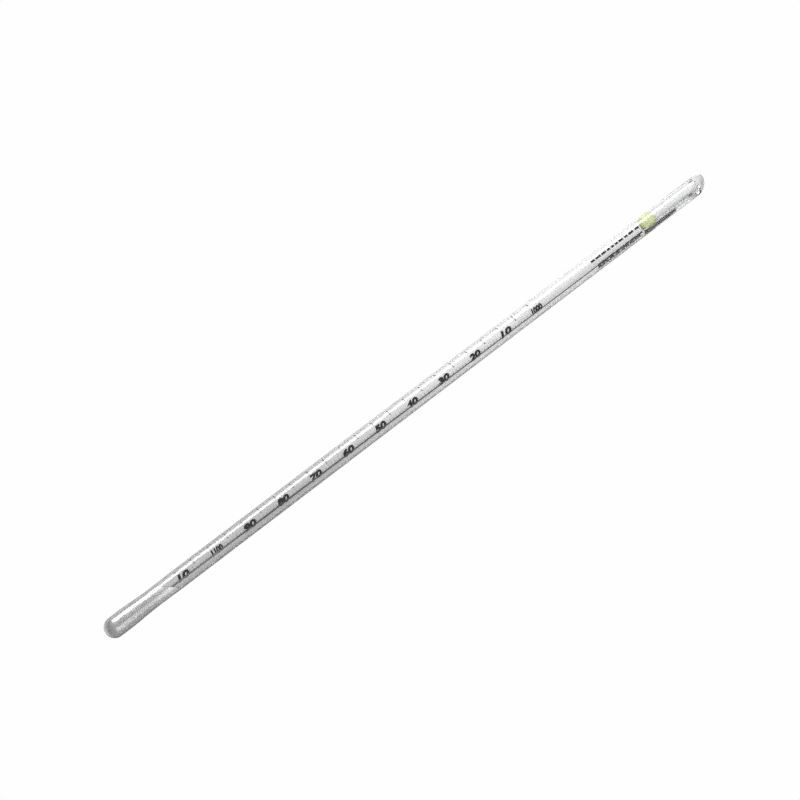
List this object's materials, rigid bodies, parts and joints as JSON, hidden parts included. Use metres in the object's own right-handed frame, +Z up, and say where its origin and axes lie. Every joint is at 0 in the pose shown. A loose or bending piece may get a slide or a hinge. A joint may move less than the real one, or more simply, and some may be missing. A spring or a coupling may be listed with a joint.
{
  "type": "hydrometer",
  "caption": "Slim straight sealed glass hydrometer with a rolled paper scale inside, shot and wax ballast at the lower end and a coloured plug near the top.",
  "frame": {"origin": "centre of the bounding box in plan, at the lowest line of the tube as it lies on its side", "axes": "+X along the tube from the ballast bulb to the sealed tip, +Z up from the surface it lies on, the scale figures turned towards +Z and -Y"},
  "size_m": [0.3, 0.008, 0.008],
  "materials": {
    "glass": "clear, flame polished",
    "paper": "matte, printed black scale",
    "wax": "dull grey sealing wax",
    "plug": "soft satin yellow-green",
    "shot": "dull lead grey"
  },
  "bodies": {
    "root": {"ballast_bulb": "glass", "stem_tube": "glass", "sealed_tip": "glass", "scale_paper": "paper", "retaining_plug": "plug", "sealing_wax": "wax", "shot_01": "shot", "shot_02": "shot", "shot_03": "shot", "shot_04": "shot", "shot_05": "shot", "shot_06": "shot", "shot_07": "shot", "shot_08": "shot", "shot_09": "shot", "shot_10": "shot", "shot_11": "shot", "shot_12": "shot", "shot_13": "shot", "shot_14": "shot", "shot_15": "shot", "shot_16": "shot", "shot_17": "shot", "shot_18": "shot", "shot_19": "shot", "shot_20": "shot", "shot_21": "shot", "shot_22": "shot", "shot_23": "shot", "shot_24": "shot", "shot_25": "shot", "shot_26": "shot", "shot_27": "shot", "shot_28": "shot", "shot_29": "shot", "shot_30": "shot", "shot_31": "shot", "shot_32": "shot", "shot_33": "shot", "shot_34": "shot", "shot_35": "shot", "shot_36": "shot", "shot_37": "shot"}
  },
  "joints": []
}
